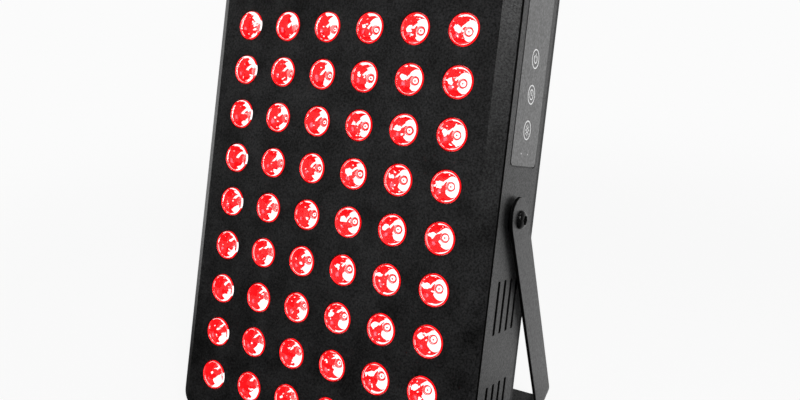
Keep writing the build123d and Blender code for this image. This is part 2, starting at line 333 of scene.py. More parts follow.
def noise(tree, place, scale, detail, roughness=0.5):
    """Soft noise between 0 and 1."""
    inputs = {"Vector": place, "Scale": scale, "Detail": detail, "Roughness": roughness}
    return add(tree, "TexNoise", inputs)["Fac"]


def carry(tree, value, low, high, start=0.0, end=1.0, kind="LINEAR"):
    """A value carried over from one range to another."""
    inputs = {"Value": value, "From Min": low, "From Max": high, "To Min": start, "To Max": end}
    return add(tree, "MapRange", inputs, interpolation_type=kind)[0]


ease = partial(carry, kind="SMOOTHSTEP")


def mix_colours(tree, share, first, second):
    """The first colour where the share is 0 and the second where it is 1."""
    inputs = {"Factor": share, 6: first, 7: second}
    return add(tree, "Mix", inputs, data_type="RGBA")[2]


def grey(value, tint=1.0):
    """A grey as a colour socket takes it, with a little more or less blue."""
    return (value, value, value * tint, 1)


# %% Groups
NUMBER = "NodeSocketFloat"
COLOUR = "NodeSocketColor"
KINDS = {3: "NodeSocketVector", 4: COLOUR}


def new_group(name, inputs, outputs):
    """A shader group: itself, what comes in, and its end node. Three numbers are a vector."""
    group = bpy.data.node_groups.new(name, "ShaderNodeTree")
    for label, value in inputs.items():
        kind = KINDS[len(value)] if isinstance(value, tuple) else NUMBER
        socket = group.interface.new_socket(label, in_out="INPUT", socket_type=kind)
        socket.default_value = value
    for label in outputs:
        kind = COLOUR if label == "Colour" else NUMBER
        group.interface.new_socket(label, in_out="OUTPUT", socket_type=kind)
    return group, group.nodes.new("NodeGroupInput").outputs, group.nodes.new("NodeGroupOutput")


def close_group(group, end, outputs):
    """Fills what comes out of a group, which is then ready for use."""
    plug(group, end, outputs)
    print("group", group.name, "with", len(group.nodes), "nodes")
    return group


# %% The grain group
def build_grain():
    """Fine bumps with a slower cloud of lighter and darker, duller and glossier."""
    group, given, end = new_group(
        "fine grain",
        {
            "Colour": grey(0.02),
            "Light Colour": grey(0.03),
            "Grains Per Metre": 2500,
            "Clouds Per Metre": 40,
            "Roughness": 0.5,
            "Roughness Spread": 0.1,
            "Gloss": 0.0,
        },
        ("Colour", "Roughness", "Height", "Gloss"),
    )
    place = mesh_place(group)
    grain = noise(group, place, given["Grains Per Metre"], detail=2.0, roughness=0.6)
    cloud = noise(group, place, given["Clouds Per Metre"], detail=3.0)
    light = carry(group, math_node(group, "MULTIPLY", grain, cloud), low=0.12, high=0.42)
    cloud_lift = math_node(group, "SUBTRACT", cloud, 0.5)
    outputs = {
        "Colour": mix_colours(group, light, given["Colour"], given["Light Colour"]),
        "Roughness": math_node(
            group, "MULTIPLY_ADD", cloud_lift, given["Roughness Spread"], given["Roughness"]
        ),
        "Height": grain,
        "Gloss": carry(group, grain, low=0.35, high=0.65, end=given["Gloss"]),
    }
    return close_group(group, end, outputs)


grain_group = build_grain()

# %% [markdown]
# Metal parts that were drawn, extruded or brushed have fine lines in one direction
# instead of grain. The same kind of noise makes them when its coordinates are stretched:
# squeezed a lot across the lines and left alone along them.

# %% The drawn lines group
def build_lines():
    """Long fine lines along one axis, for extruded, brushed and turned metal."""
    group, given, end = new_group(
        "drawn lines",
        {
            "Colour": grey(0.6),
            "Dark Colour": grey(0.4),
            "Across": (1500, 1500, 20),
            "Roughness": 0.35,
            "Roughness Spread": 0.2,
        },
        ("Colour", "Roughness", "Height"),
    )
    stretched = vector_node(group, "MULTIPLY", mesh_place(group), given["Across"])[0]
    lines = noise(group, stretched, scale=1.0, detail=2.0)
    outputs = {
        "Colour": mix_colours(group, lines, given["Dark Colour"], given["Colour"]),
        "Roughness": math_node(
            group, "MULTIPLY_ADD", lines, given["Roughness Spread"], given["Roughness"]
        ),
        "Height": lines,
    }
    return close_group(group, end, outputs)


lines_group = build_lines()

# %% [markdown]
# A material is a Principled shader with one of these groups in front of it. The group
# gives what changes over the surface, and everything that is the same all over, such as
# how metallic it is, is set on the shader's own sockets.

# %% Materials from a group
def new_material(name, shader_values):
    """A material, its nodes and its shader, with the shader's own values set."""
    material = bpy.data.materials.new(name)
    material.use_nodes = True
    tree = material.node_tree
    shader = tree.nodes["Principled BSDF"]
    plug(tree, shader, shader_values)
    return material, tree, shader


def emboss(tree, shader, height, depth):
    """Lifts the surface by a pattern, to a depth in millimetres."""
    inputs = {"Height": height, "Strength": 1.0, "Distance": depth * MM}
    plug(tree, shader, {"Normal": add(tree, "Bump", inputs)["Normal"]})


def surface(name, group, group_values, bump, shader_values):
    """A material whose colour, roughness and bump come from a group."""
    material, tree, shader = new_material(name, shader_values)
    pattern = add(tree, "Group", group_values, node_tree=group)
    plug(tree, shader, {"Base Color": pattern["Colour"], "Roughness": pattern["Roughness"]})
    if "Gloss" in group_values:
        plug(tree, shader, {"Coat Weight": pattern["Gloss"]})
    emboss(tree, shader, pattern["Height"], bump)
    return material


# %% [markdown]
# Powder coat is sprayed on as dry grains and melted in an oven. Its skin is dull between the grains and glossy on
# top of them, so the grain group also drives a thin coat. A band along the back of the walls gets a duller copy of
# the paint, which looks darker there. Mouldings, boards and ink need only two near colours, a grain size and a
# roughness.

# %% Grained finishes
def grained(name, colours, grains, roughness, bump, more=None, shader=None):
    """A grained finish from its dark and its light colour and its grains per metre."""
    values = {"Colour": colours[0], "Light Colour": colours[1], "Grains Per Metre": grains}
    values["Roughness"] = roughness
    return surface(name, grain_group, values | (more or {}), bump, shader or {})


def greys(dark, light, tint=1.0):
    """A dark and a light grey."""
    return grey(dark), grey(light, tint)


def powder_coat(name, grains, clouds, roughness, gloss, specular):
    """Black powder coat with glossy grains."""
    more = {"Clouds Per Metre": clouds, "Roughness Spread": 0.1, "Gloss": gloss}
    shader = {"Specular IOR Level": specular, "Coat Roughness": 0.45}
    return grained(name, greys(0.0, 0.03, 1.04), grains, roughness, 0.1, more, shader)


# %% Powder coats
case_paint = powder_coat(
    "black powder coat", grains=900, clouds=60, roughness=0.39, gloss=0.5, specular=0.3
)
# A duller, darker-looking copy of the paint for the band along the back of the walls
duller_back_paint = powder_coat(
    "duller paint on the back band", grains=900, clouds=60, roughness=0.5, gloss=0.1, specular=0.22
)
bracket_paint = powder_coat(
    "bracket powder coat", grains=850, clouds=45, roughness=0.4, gloss=0.5, specular=0.45
)
print("powder coats", len(bpy.data.materials))

# %% Film, ink, rocker and painted shade
touch_satin = grained(
    "satin touch film",
    greys(0.012, 0.045, 1.03),
    grains=800,
    roughness=0.34,
    bump=0.004,
    more={"Clouds Per Metre": 30, "Roughness Spread": 0.06, "Gloss": 0.8},
    shader={"Specular IOR Level": 1.0, "Coat Roughness": 0.35},
)
# The ink glows faintly: on the printed marks this is a painted glow that brightens them, and the two small lights
# share it
ink_with_faint_glow = grained(
    "pale ink with a faint glow",
    greys(0.7, 0.85),
    grains=6000,
    roughness=0.5,
    bump=0.004,
    shader={"Emission Color": grey(1.0), "Emission Strength": 0.35},
)
rocker_plastic = grained(
    "polished rocker",
    greys(0.01, 0.014),
    grains=900,
    roughness=0.16,
    bump=0.003,
    shader={"Coat Weight": 0.3},
)
# Painted shade: a black for the vent and pivot holes, the seams and the strap's cut edges, where shade falls
painted_shade_black = grained(
    "painted shade black",
    greys(0.0, 0.006),
    grains=1500,
    roughness=0.8,
    bump=0.02,
    shader={"Specular IOR Level": 0.1},
)

# %% Mouldings, rubber and boards
board_greens = (0.01, 0.09, 0.035, 1), (0.02, 0.15, 0.06, 1)
socket_plastic, fan_plastic, pad_rubber, circuit_green, lamp_board_white = [
    grained(name, colours, grains, roughness, bump)
    for name, colours, grains, roughness, bump in (
        ("moulded black plastic", greys(0.012, 0.02), 4000, 0.45, 0.01),
        ("fan plastic", greys(0.014, 0.022), 3000, 0.4, 0.01),
        ("pad rubber", greys(0.012, 0.028), 1500, 0.8, 0.06),
        ("circuit board", board_greens, 800, 0.35, 0.01),
        ("white solder mask", greys(0.7, 0.8), 1200, 0.4, 0.005),
    )
]
print("finishes so far", len(bpy.data.materials))

# %% Metal finishes
sink_aluminium, driver_sheet, zinc_steel, standoff_brass, contact_metal = [
    surface(
        name,
        lines_group,
        {"Colour": colour, "Dark Colour": dark, "Across": across},
        bump,
        {"Metallic": 1.0},
    )
    for name, colour, dark, across, bump in (
        ("extruded aluminium", grey(0.65), grey(0.5), (1200, 1200, 12), 0.01),
        ("driver case sheet", grey(0.55), grey(0.45), (18, 1500, 1500), 0.008),
        ("zinc plated steel", grey(0.6, 1.05), grey(0.45), (900, 900, 900), 0.006),
        ("turned brass", (0.75, 0.55, 0.25, 1), (0.55, 0.38, 0.15, 1), (30, 2500, 30), 0.006),
        ("nickel plated brass", (0.72, 0.7, 0.64, 1), grey(0.55, 0.9), (2000, 40, 2000), 0.004),
    )
]
black_steel = surface(
    "black oxide steel",
    lines_group,
    {
        "Colour": grey(0.012),
        "Dark Colour": grey(0.004),
        "Across": (1500, 1500, 1500),
        "Roughness": 0.1,
        "Roughness Spread": 0.06,
    },
    0.03,
    {"Specular IOR Level": 0.2},
)
print("finishes so far", len(bpy.data.materials))

# %% [markdown]
# The lamps are the part that everyone looks at. Each is a small red lamp at the bottom of a bowl, behind a clear
# domed lens. A picture of a lit lamp can be faked with one glowing disc, but then nothing changes when the view
# turns. Here the dome is real glass that bends what is behind it, and the bowl glows red, with white places that
# are painted reflections of the studio lights. One group tells how far a point is from the middle of its own lamp,
# so that one glow serves all sixty.

# %% Where a point lies in its lamp
up_way = panel_place.to_3x3() @ Vector((0.0, 0.0, 1.0)) / MM


def flat_length(tree, across, up):
    """The length of a flat line that runs so far across and so far up."""
    line = add(tree, "CombineXYZ", {"X": across, "Y": up})[0]
    return vector_node(tree, "LENGTH", line)["Value"]


def build_lamp_place():
    """Across, up and out from the lamp's middle in glass radii, and side, from 0 to 1."""
    group, _, end = new_group("lamp place", {}, ("Across", "Up", "Out", "Side"))
    do = partial(math_node, group)
    offset = vector_node(group, "SUBTRACT", mesh_place(group), pivot)[0]
    steps = []
    shares = []
    for way, pitch in (((1.0, 0.0, 0.0), column_pitch), (up_way, row_pitch)):
        along = vector_node(group, "DOT_PRODUCT", offset, way)["Value"]
        steps.append(do("DIVIDE", along, pitch * MM))
        share = do("SUBTRACT", do("FRACT", steps[-1]), 0.5)
        shares.append(do("MULTIPLY", share, pitch / glass_radius))
    across, up = shares
    outputs = {
        "Across": across,
        "Up": up,
        "Out": flat_length(group, across, up),
        "Side": do("ADD", do("DIVIDE", steps[0], len(column_places)), 0.5),
    }
    return close_group(group, end, outputs)


lamp_place_group = build_lamp_place()

# %% [markdown]
# The lit bowl glows red. On the real panel it also shows reflections of the studio lights, and here they are
# painted into the glow in white: a bright half on the right, an arc at the top, thin lines inside the rim and
# small specks, and the bright half narrows in the far columns. Each is a mask: a band or a spot in the lamp, cut
# off where another value passes a limit. Noise is added to the values first, which makes the edges wander, so that
# no two lamps match.

# %% Start and end of a glow
RED = (1.0, 0.006, 0.01, 1)
# White: the hot ring of each emitter, and the painted reflections and highlights in the bowls
HOT_WHITE_AND_HIGHLIGHT = (1.5, 1.4, 1.4, 1)


def start_glow(name):
    """A new glow group with its lamp place and its patches."""
    inputs = {"Red": RED, "Hot White And Highlight": HOT_WHITE_AND_HIGHLIGHT, "Patches Per Metre": 330}
    group, given, end = new_group(name, inputs, ("Colour", "Height"))
    lamp = add(group, "Group", node_tree=lamp_place_group)
    patches = noise(group, mesh_place(group), given["Patches Per Metre"], detail=2.0)
    return group, given, end, lamp, patches


def end_glow(group, given, end, patches, hot_and_highlight):
    """Red where the mask is 0 and white where it is 1: painted reflections in the bowl, the lamp's own hot ring in
    the emitter.
    """
    colour = mix_colours(group, hot_and_highlight, given["Red"], given["Hot White And Highlight"])
    return close_group(group, end, {"Colour": colour, "Height": patches})


# %% The bowl's glow and painted reflections
def build_bowl_glow_and_reflections():
    """Painted reflections on the red glow: a white side, a cap at the top, a broken line inside the rim and a few
    specks.
    """
    group, given, end, lamp, patches = start_glow("bowl glow and painted reflections")
    out, near_side = lamp["Out"], lamp["Side"]
    times = partial(math_node, group, "MULTIPLY")
    line = partial(math_node, group, "MULTIPLY_ADD")
    minus = partial(math_node, group, "SUBTRACT")
    above = partial(math_node, group, "GREATER_THAN")
    below = partial(math_node, group, "LESS_THAN")
    band = partial(math_node, group, "COMPARE")

    def away(across, up):
        """How far a point is from a spot in the lamp, in glass radii."""
        return flat_length(group, minus(lamp["Across"], across), minus(lamp["Up"], up))

    lift = minus(patches, 0.5)
    far_side = minus(1.0, near_side)
    bend = times(far_side, math_node(group, "ABSOLUTE", lamp["Up"]))
    across = line(bend, 0.4, line(lift, 0.5, lamp["Across"]))
    up = line(lift, 0.9, lamp["Up"])
    fine = noise(group, mesh_place(group), scale=700.0, detail=0.0)
    # Painted reflection: the bright half on the right
    painted_bright_half = times(
        above(across, line(near_side, -0.13, -0.09)),
        below(away(0.25, 0.0), line(far_side, 0.24, 0.56)),
    )
    hot_and_highlight = times(painted_bright_half, above(away(0.2, -0.1), line(far_side, 1.05, -0.6)))
    # Painted highlights and reflections, one mask each
    for shape, limit in (
        # The cap at the top, wider in the far columns
        (band(out, 0.84, line(far_side, 0.09, 0.05)), above(line(lamp["Across"], 0.5, up), 0.64)),
        # The outer crescent of the far columns
        (band(out, 0.76, 0.14), times(above(across, 0.2), above(far_side, 0.45))),
        # The arc at the lower right
        (band(out, 0.85, 0.055), above(minus(lamp["Across"], up), 0.7)),
        # The arch over the middle
        (band(away(0.05, -0.12), 0.5, 0.045), times(above(up, 0.06), below(across, 0.1))),
        # The broken line inside the rim, and the specks
        (band(out, 0.9, 0.012), above(patches, 0.48)),
        (below(out, 0.7), above(fine, 0.74)),
        # The patch on the left, in the near columns only
        (below(line(lift, -0.6, away(-0.62, 0.1)), times(near_side, 0.2)), above(near_side, 0.5)),
    ):
        hot_and_highlight = math_node(group, "MAXIMUM", hot_and_highlight, times(shape, limit))
    return end_glow(group, given, end, patches, hot_and_highlight)


bowl_glow_and_reflections_group = build_bowl_glow_and_reflections()

# %% The emitter's glow
def build_emitter_glow():
    """A white ring round a red middle, smaller in the far columns: the lamp's own glow."""
    group, given, end, lamp, patches = start_glow("emitter glow")
    do = partial(math_node, group)
    core = do("LESS_THAN", lamp["Out"], do("MULTIPLY_ADD", lamp["Side"], 0.12, 0.05))
    hot_and_highlight = do("MULTIPLY", core, do("GREATER_THAN", lamp["Out"], 0.045))
    return end_glow(group, given, end, patches, hot_and_highlight)


emitter_glow_group = build_emitter_glow()

# %% Lamp finishes
def lit_material(name, colour, group, shader_values):
    """A smooth surface that glows as a group says."""
    values = {"Base Color": colour, "Emission Strength": 1.0} | shader_values
    material, tree, shader = new_material(name, values)
    glow = add(tree, "Group", node_tree=group)
    plug(tree, shader, {"Emission Color": glow["Colour"]})
    emboss(tree, shader, glow["Height"], depth=0.35)
    return material


def lens_material():
    """Clear moulded plastic with a faint ripple."""
    values = {"Base Color": (1.0, 0.97, 0.97, 1), "Transmission Weight": 1.0, "IOR": 1.49}
    material, tree, shader = new_material("clear lens", values)
    ripple = noise(tree, mesh_place(tree), scale=420.0, detail=1.0)
    plug(tree, shader, {"Roughness": carry(tree, ripple, low=0.0, high=1.0, end=0.02)})
    emboss(tree, shader, ripple, depth=0.05)
    return material


clear_lens = lens_material()
# The bowl's red glow is the lamp's own; its white places are painted reflections
lit_bowl_with_painted_reflections = lit_material(
    "lit bowl with painted reflections", (0.8, 0.015, 0.02, 1), bowl_glow_and_reflections_group, {"Metallic": 1.0, "Roughness": 0.15}
)
lit_emitter = lit_material(
    "lit emitter", (0.4, 0.01, 0.01, 1), emitter_glow_group, {"Roughness": 0.3}
)
print("finishes", len(bpy.data.materials))

# %% [markdown]
# The front cover is a pressed tray. Its flat plate is drawn as sixty equal cells: each
# runs from a lamp hole out to its share of the plate, so the cells meet point to point
# and merge into one clean sheet. The bevelled edge and the lip are one profile, swept
# round the case as a stack of rounded rectangles.

# %% The lamp plate
hole_roll = 0.4
roll_steps = 3


def cell_loop(half_width, half_height, steps=12):
    """Points round a rectangle, evenly spaced on each side, from the lower right on."""
    corners = ((1, -1), (1, 1), (-1, 1), (-1, -1), (1, -1))
    return [
        (half_width * across, half_height * rise)
        for (x, z), (next_x, next_z) in zip(corners, corners[1:])
        for across, rise in zip(even(x, next_x, steps)[:-1], even(z, next_z, steps)[:-1])
    ]


def lamp_cell(bm, x, z):
    """One lamp hole with a rolled edge, and the plate round it, front and back."""
    rim = cell_loop(column_pitch / 2, row_pitch / 2)
    turns = [math.atan2(rise, across) for across, rise in rim]

    def ring(points, depth):
        return [bm.verts.new((x + across, depth, z + rise)) for across, rise in points]

    loops = [(rim, front)]
    for turn in even(0.0, QUARTER, roll_steps):
        radius = hole_radius + hole_roll * (1 - math.sin(turn))
        loops.append((around(radius, turns), front + hole_roll * (1 - math.cos(turn))))
    loops += [(around(hole_radius, turns), front + sheet), (rim, front + sheet)]
    stack(bm, [ring(points, depth) for points, depth in loops])


print("plate cells", round(column_pitch, 2), "x", round(row_pitch, 2), "mm")

# %% Rings round the case
smallest_corner = 0.4


def case_ring(bm, inset, depth):
    """A ring of vertices round the case at an inset and a depth."""
    radius = max(corner_radius - inset, smallest_corner)
    points = rounded_loop(side - inset, top - inset, radius)
    return axis_ring(bm, points, depth, (0.0, 0.0, 0.0))


def open_edges(bm, depth):
    """The edges at a depth that have a face on one side only."""
    single = [edge for edge in bm.edges if len(edge.link_faces) == 1]
    return [e for e in single if all(abs(v.co.y - depth) < CLOSE for v in e.verts)]


# %% The front cover
plate_overlap = 1.0
cover_round = 0.5
lining_round = 0.3


def cover_mesh():
    """The plate, the bevelled edge and the lip. The seam at the rim, the lip and the inside are painted black as
    shade.
    """
    bm = bmesh.new()
    for x in column_places:
        for z in row_places:
            lamp_cell(bm, x, z)
    bmesh.ops.remove_doubles(bm, verts=bm.verts, dist=CLOSE)
    slope = (bevel_back - front) / crease_inset
    inner_inset = lip_inset + sheet
    inner_crease = crease_inset + sheet * slope / 2
    inner_bevel_back = front + sheet + (inner_crease - inner_inset) * slope
    outside = (
        (crease_inset + plate_overlap, front),
        (crease_inset, front),
        (0.0, bevel_back),
        (0.0, rim_back),
        (lip_inset, rim_back),
        (lip_inset, lip_back),
    )
    inside = (
        (inner_inset, lip_back),
        (inner_inset, inner_bevel_back),
        (inner_crease, front + sheet),
        (crease_inset + plate_overlap, front + sheet),
    )
    profile = round_corners(outside, cover_round) + round_corners(inside, lining_round)
    rings = [case_ring(bm, inset, depth) for inset, depth in profile]
    for ring, next_ring in zip(rings, rings[1:]):
        for face in bridge(bm, ring, next_ring):
            nearest = min(vertex.co.y for vertex in face.verts)
            # The seam at the rim, the lip and the inside get the painted shade black
            face.material_index = int(nearest > rim_back - cover_round - CLOSE)
    for depth in (front, front + sheet):
        bmesh.ops.triangle_fill(bm, edges=open_edges(bm, depth), use_beauty=True)
    return bm


make_piece("lamp_cover", cover_mesh(), [case_paint, painted_shade_black], ["front_cover"])

# %% [markdown]
# The walls of the case are one band of folded sheet. It is swept like the cover's edge,
# but its two upright sides are left out of the sweep: they are closed as flat faces with
# holes, which is how the vents, the pivot holes and the pocket of the touch strip come
# in. Each hole is the same ring three times: on the skin, a little inside it with a soft
# edge, and on the inner skin.

# %% Holes in the walls
vent_count = 4
vent_width = 3.0
vent_length = 30.0
vent_corner = 0.9
vent_pitch = 9.0
vent_setback = 2.1
vent_drops = (49.4, 108.5)
pivot_hole_radius = 3.3
film_points = drawn("touch_film")
film_low_y, film_high_y = extent(film_points, Y)
film_low_z, film_high_z = extent(film_points, Z)
film_middle = ((film_low_y + film_high_y) / 2, (film_low_z + film_high_z) / 2)
film_half = ((film_high_y - film_low_y) / 2, (film_high_z - film_low_z) / 2)
film_corner = 3.0
film_gap = 0.6
film_pocket = 0.6


def side_holes():
    """Centre and outline of each hole in a side wall, as depth and height."""
    slot = rounded_loop(vent_width / 2, vent_length / 2, vent_corner, steps=3)
    holes = [((0.0, 0.0), circle_loop(pivot_hole_radius, count=24))]
    for drop in vent_drops:
        for number in range(vent_count):
            offset = (number - (vent_count - 1) / 2) * vent_pitch
            holes.append(((vent_setback + offset, -drop), slot))
    return holes


def side_ring(bm, x, centre, outline, growth=0.0):
    """A ring on a side wall. Growth moves each point out from the outline's middle."""
    ring = []
    for depth, rise in outline:
        reach = math.hypot(depth, rise)
        if growth:
            depth += math.copysign(min(growth, abs(depth)), depth)
            rise += math.copysign(growth, rise) if abs(rise) > reach / 2 else 0.0
        ring.append(bm.verts.new((x, centre[0] + depth, centre[1] + rise)))
    return ring


print("holes in a side wall:", len(side_holes()))

# %% A side wall
hole_edge = 0.2
pocket_edge = 0.15
# The finishes of the walls after the first, which is their paint: black for painted shade, and a duller paint for
# the back band
PAINTED_SHADE, DULLER_BACK_BAND = 1, 2


def side_wall(bm, sign, skin, lining):
    """A flat side with its holes. The right one has the touch strip's pocket too."""
    outer_holes = []
    inner_holes = []
    for centre, outline in side_holes():
        wide = side_ring(bm, sign * side, centre, outline, hole_edge)
        soft = side_ring(bm, sign * (side - hole_edge), centre, outline)
        inner = side_ring(bm, sign * (side - sheet), centre, outline)
        bridge(bm, wide, soft)
        # The walls of each hole are painted black as shade
        for face in bridge(bm, soft, inner):
            face.material_index = PAINTED_SHADE
        outer_holes.append(wide)
        inner_holes.append(inner)
    if sign > 0:
        half_width, half_height = [half + film_gap for half in film_half]
        pocket = rounded_loop(half_width, half_height, film_corner, steps=5)
        edge = side_ring(bm, side, film_middle, pocket, pocket_edge)
        wall = side_ring(bm, side - pocket_edge, film_middle, pocket)
        floor = side_ring(bm, side - film_pocket, film_middle, pocket)
        stack(bm, [edge, wall, floor])
        bm.faces.new(floor)
        outer_holes.append(edge)
    fill(bm, skin, *outer_holes)
    fill(bm, lining, *inner_holes)


# %% The case walls
flange_width = 10.0
wall_round = 0.35
seam_shade = 0.4
back_band = 4.0


def walls_mesh():
    """The band of sheet with its flange. The front edge in the seam is painted black as shade, and a band along
    the back gets a duller paint.
    """
    bm = bmesh.new()
    corners = (
        (sheet / 2, wall_front),
        (0.0, wall_front),
        (0.0, back),
        (sheet, back),
        (sheet, cover_seat),
        (sheet + flange_width, cover_seat),
        (sheet + flange_width, cover_seat - sheet),
        (sheet, cover_seat - sheet),
        (sheet, wall_front),
        (sheet / 2, wall_front),
    )
    profile = round_corners(corners, wall_round, steps=2)[:-1]
    half_way = (wall_front + back) / 2
    back_round = next(number for number, point in enumerate(profile) if point[1] > half_way)
    profile[back_round:back_round] = [(0.0, wall_front + seam_shade), (0.0, back - back_band)]
    rings = [case_ring(bm, inset, depth) for inset, depth in profile]
    count = len(rings[0])
    right_side, left_side = count - 1, count // 2 - 1
    spans = []
    for ring, next_ring in zip(rings, rings[1:] + rings[:1]):
        long_span = abs(next_ring[0].co.y - ring[0].co.y) > (back - wall_front) / 2
        for face in bridge(bm, ring, next_ring, (right_side, left_side) if long_span else ()):
            depths = [vertex.co.y for vertex in face.verts]
            # The front edge in the seam is painted black as shade
            if max(depths) < wall_front + seam_shade + CLOSE:
                face.material_index = PAINTED_SHADE
            # The band along the back gets the duller copy of the paint
            elif min(depths) > back - back_band - CLOSE:
                face.material_index = DULLER_BACK_BAND
        if long_span:
            spans.append((ring, next_ring))
    for number, sign in ((right_side, 1), (left_side, -1)):
        after = (number + 1) % count
        side_wall(bm, sign, *([a[number], a[after], b[after], b[number]] for a, b in spans))
    return bm


wall_finish = [case_paint, painted_shade_black, duller_back_paint]
make_piece("case_walls", walls_mesh(), wall_finish, ["housing_shell"])

# %% [markdown]
# Round pieces, from the lenses to the bolts, are a profile turned about an axis. The
# profile is a short list of radius and depth, and the same helper serves them all. An
# axis point where the radius is zero closes the piece with a fan of triangles.

# %% Turned pieces
def turned(bm, profile, centre, axis=Y, count=40):
    """Turns a profile of radius and place along an axis through the centre."""
    rings = []
    for radius, along in profile:
        points = circle_loop(radius, count) if radius > 0 else [(0.0, 0.0)]
        rings.append(axis_ring(bm, points, along, centre, axis))
    for ring, next_ring in zip(rings, rings[1:]):
        tip, wide = sorted((ring, next_ring), key=len)
        if len(tip) == 1:
            for number in range(count):
                bm.faces.new((tip[0], wide[number], wide[(number + 1) % count]))
        else:
            bridge(bm, ring, next_ring)


# %% [markdown]
# A lens is a shallow dome that stands proud of the plate, with a narrow raised rim round
# it. The real one is a solid piece of clear plastic with the bowl behind it. Here the dome
# is closed by a flat back, so that light bends in it as in a real lens, and the bowl is a
# piece of its own that reaches down to the lamp and up to the rim.

# %% A dome and its bowl
rim_width = 0.35
rim_round = 0.15
rim_front = front - 0.4
profile_steps = 10
dome_crown = front - 1.9
dome_foot = rim_front + 0.2
dome_ledge = 0.3
bowl_hole = 2.3
bowl_curve = 1.8
bowl_mouth = front + 1.6
bowl_floor = lens_foot - 0.1
glass_gap = 0.1
side_gap = 0.02


def dome_profile():
    """A shallow dome with a narrow flat edge, closed by a flat back."""
    radius = glass_radius - rim_width - dome_ledge
    edge = glass_radius - rim_width - side_gap
    flat_back = bowl_mouth - glass_gap
    rise = dome_foot - dome_crown
    sphere = (radius**2 + rise**2) / (2 * rise)
    turns = even(0.0, math.asin(radius / sphere), profile_steps)
    dome = [
        (sphere * math.sin(turn), dome_crown + sphere * (1 - math.cos(turn))) for turn in turns
    ]
    return dome + [(edge, dome_foot), (edge, flat_back), (0.0, flat_back)]


def bowl_profile():
    """A bowl with a raised rim round the glass, open at the bottom for the lamp."""
    mouth = glass_radius - rim_width
    points = [(bowl_hole, lens_foot), (bowl_hole, bowl_floor)]
    for share in even(0.0, 1.0, profile_steps)[1:]:
        radius = bowl_hole + (mouth - bowl_hole) * share
        points.append((radius, bowl_floor - (bowl_floor - bowl_mouth) * share**bowl_curve))
    rim = (
        points[-1],
        (mouth, rim_front),
        (glass_radius, rim_front),
        (glass_radius, lens_foot),
    )
    rounded_rim = [tuple(point) for point in round_corners(rim, rim_round)]
    return points[:-1] + rounded_rim + [(bowl_hole, lens_foot)]


# %% The lenses
for number, (node, x) in enumerate(zip(lens_nodes, column_places), start=1):
    domes = bmesh.new()
    bowls = bmesh.new()
    for z in row_places:
        turned(domes, dome_profile(), (x, 0.0, z))
        turned(bowls, bowl_profile(), (x, 0.0, z))
    bmesh.ops.remove_doubles(bowls, verts=bowls.verts, dist=CLOSE / 10)
    make_piece(f"clear_lenses_{number}", domes, [clear_lens], [node])
    make_piece(f"lit_bowls_{number}", bowls, [lit_bowl_with_painted_reflections])

# %% The emitters
emitter_radius = 1.85
emitter_base_radius = 2.1
emitter_base_share = 0.4
emitter_steps = 6
emitter_top, board_front = extent(drawn("led_emitters"), Y)
emitter_base = board_front - (board_front - emitter_top) * emitter_base_share


def emitter_profile():
    """A low round base with a small dome."""
    points = [(0.0, emitter_top)]
    for turn in even(0.0, QUARTER, emitter_steps)[1:]:
        rise = (emitter_base - emitter_top) * math.cos(turn)
        points.append((emitter_radius * math.sin(turn), emitter_base - rise))
    base = emitter_base_radius
    return points + [(base, emitter_base), (base, board_front), (0.0, board_front)]


emitters = bmesh.new()
for x in column_places:
    for z in row_places:
        turned(emitters, emitter_profile(), (x, 0.0, z), count=24)
make_piece("lamp_emitters", emitters, [lit_emitter], ["led_emitters"])

# %% [markdown]
# The touch strip is a thin satin film in its pocket. Its three key marks are printed on
# the real one. Here each is a ring and a few strokes of ink, a twentieth of a millimetre
# thick, so that they stay sharp at any distance. The signs are the plain ones that any
# lamp may have: on and off, timer and brightness.

# %% The touch strip
film_back, film_face = extent(film_points, X)
film_steps = (
    (film_back, 0.0),
    (film_face - 0.12, 0.0),
    (film_face - 0.03, 0.05),
    (film_face, 0.14),
)


def film_mesh():
    """The film with a soft edge."""
    bm = bmesh.new()
    rings = []
    for x, inset in film_steps:
        half_width, half_height = [half - inset for half in film_half]
        outline = rounded_loop(half_width, half_height, film_corner - inset, steps=6)
        rings.append(side_ring(bm, x, film_middle, outline))
    stack(bm, rings)
    bm.faces.new(rings[0])
    bm.faces.new(rings[-1])
    return bm


make_piece("touch_strip", film_mesh(), [touch_satin], ["touch_film"])

# %% Strokes of ink
ink_height = 0.05
ink_depth = 0.01


def ink_stroke(bm, points, width, closed=False):
    """A flat stroke of ink on the film along a line of depth and height."""
    line = [Vector(point) for point in points]
    count = len(line)
    low, high = film_face - ink_depth, film_face + ink_height
    rings = []
    for number, point in enumerate(line):
        before = line[number - 1] if number or closed else point
        after = line[(number + 1) % count] if number + 1 < count or closed else point
        way = (after - before).normalized()
        out = Vector((way.y, -way.x)) * width / 2
        corners = ((high, point + out), (high, point - out), (low, point - out), (low, point + out))
        rings.append([bm.verts.new((x, *place)) for x, place in corners])
    stack(bm, rings + rings[:1] if closed else rings)
    if not closed:
        bm.faces.new(rings[0])
        bm.faces.new(rings[-1])


# %% The key marks
key_depth = 2.8
key_heights = (90.0, 70.0, 50.0)
key_ring, power_arc, clock_face, sun_disc = 5.2, 2.3, 2.7, 1.3
power_line = (0.6, 3.2)
clock_hands = ((0.0, 1.8), (0.0, 0.0), (1.2, -0.6))
sun_rays = (2.2, 3.3)
ring_ink, clock_ink, sun_ink = 0.7, 0.65, 0.6


